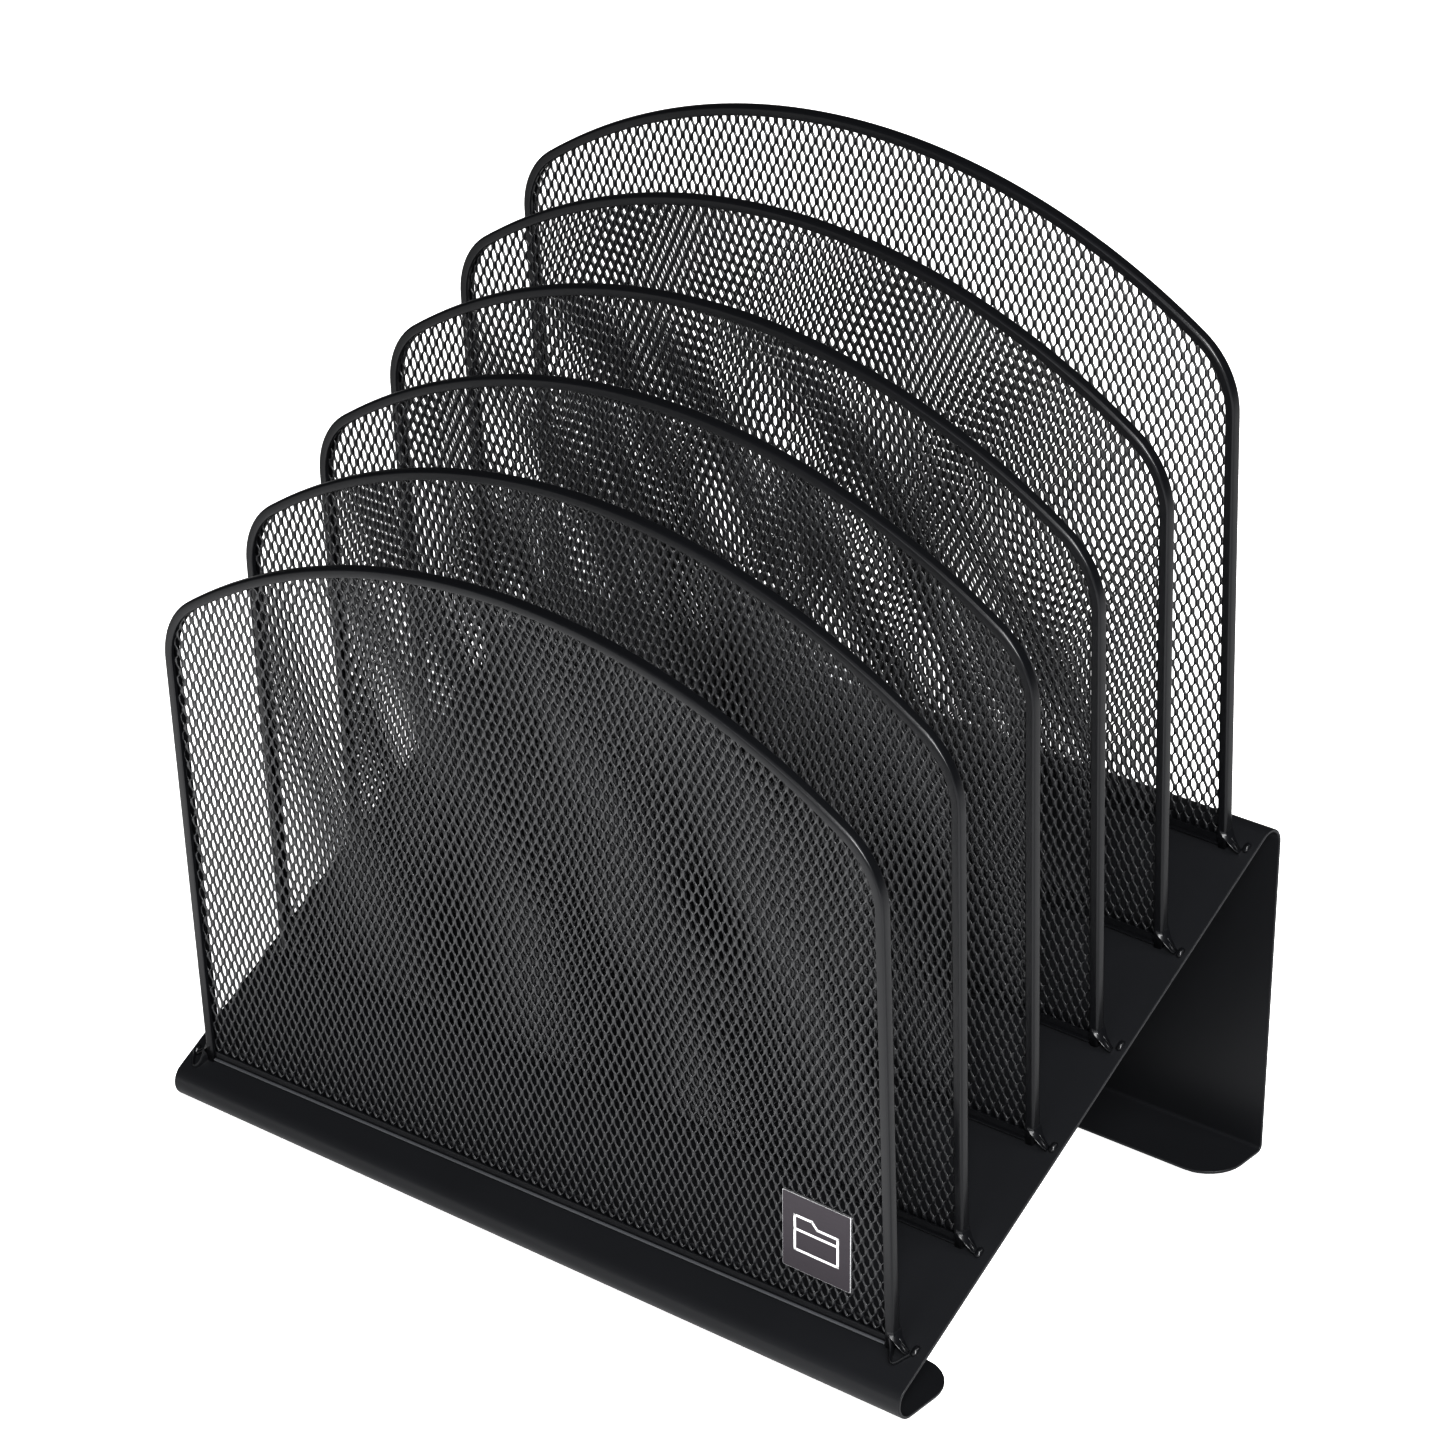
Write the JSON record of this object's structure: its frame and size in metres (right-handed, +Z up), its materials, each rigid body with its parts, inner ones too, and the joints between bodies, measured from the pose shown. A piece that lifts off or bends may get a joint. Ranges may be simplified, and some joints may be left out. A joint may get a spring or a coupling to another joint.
{
  "type": "desktop file sorter",
  "caption": "Inclined desktop file sorter: arched mesh dividers stand in steps on a bent sheet-steel base and form open-ended slots for folders.",
  "frame": {"origin": "under the middle of the bounding box, on the surface that the sorter stands on", "axes": "+X along the slots, towards the right seen from the front; +Y from the low front to the high back; +Z up"},
  "size_m": [0.3, 0.2, 0.3294],
  "materials": {
    "coated_sheet": "satin black powder coat on sheet steel",
    "coated_rim": "satin black powder coat on rolled edging",
    "coated_mesh": "satin black powder coat on expanded metal",
    "badge": "dark anodised plate with bright edges",
    "rubber": "matt black rubber"
  },
  "bodies": {
    "root": {"base_tray": "coated_sheet", "divider_rim_1": "coated_rim", "divider_rim_2": "coated_rim", "divider_rim_3": "coated_rim", "divider_rim_4": "coated_rim", "divider_rim_5": "coated_rim", "divider_rim_6": "coated_rim", "divider_mesh_1": "coated_mesh", "divider_mesh_2": "coated_mesh", "divider_mesh_3": "coated_mesh", "divider_mesh_4": "coated_mesh", "divider_mesh_5": "coated_mesh", "divider_mesh_6": "coated_mesh", "divider_rail_1": "coated_rim", "divider_rail_2": "coated_rim", "divider_rail_3": "coated_rim", "divider_rail_4": "coated_rim", "divider_rail_5": "coated_rim", "divider_rail_6": "coated_rim", "weld_tab_left_1": "coated_rim", "weld_tab_left_2": "coated_rim", "weld_tab_left_3": "coated_rim", "weld_tab_left_4": "coated_rim", "weld_tab_left_5": "coated_rim", "weld_tab_left_6": "coated_rim", "weld_tab_right_1": "coated_rim", "weld_tab_right_2": "coated_rim", "weld_tab_right_3": "coated_rim", "weld_tab_right_4": "coated_rim", "weld_tab_right_5": "coated_rim", "weld_tab_right_6": "coated_rim", "badge_plate": "badge", "foot_front_left": "rubber", "foot_front_right": "rubber", "foot_rear_left": "rubber", "foot_rear_right": "rubber"}
  },
  "joints": []
}
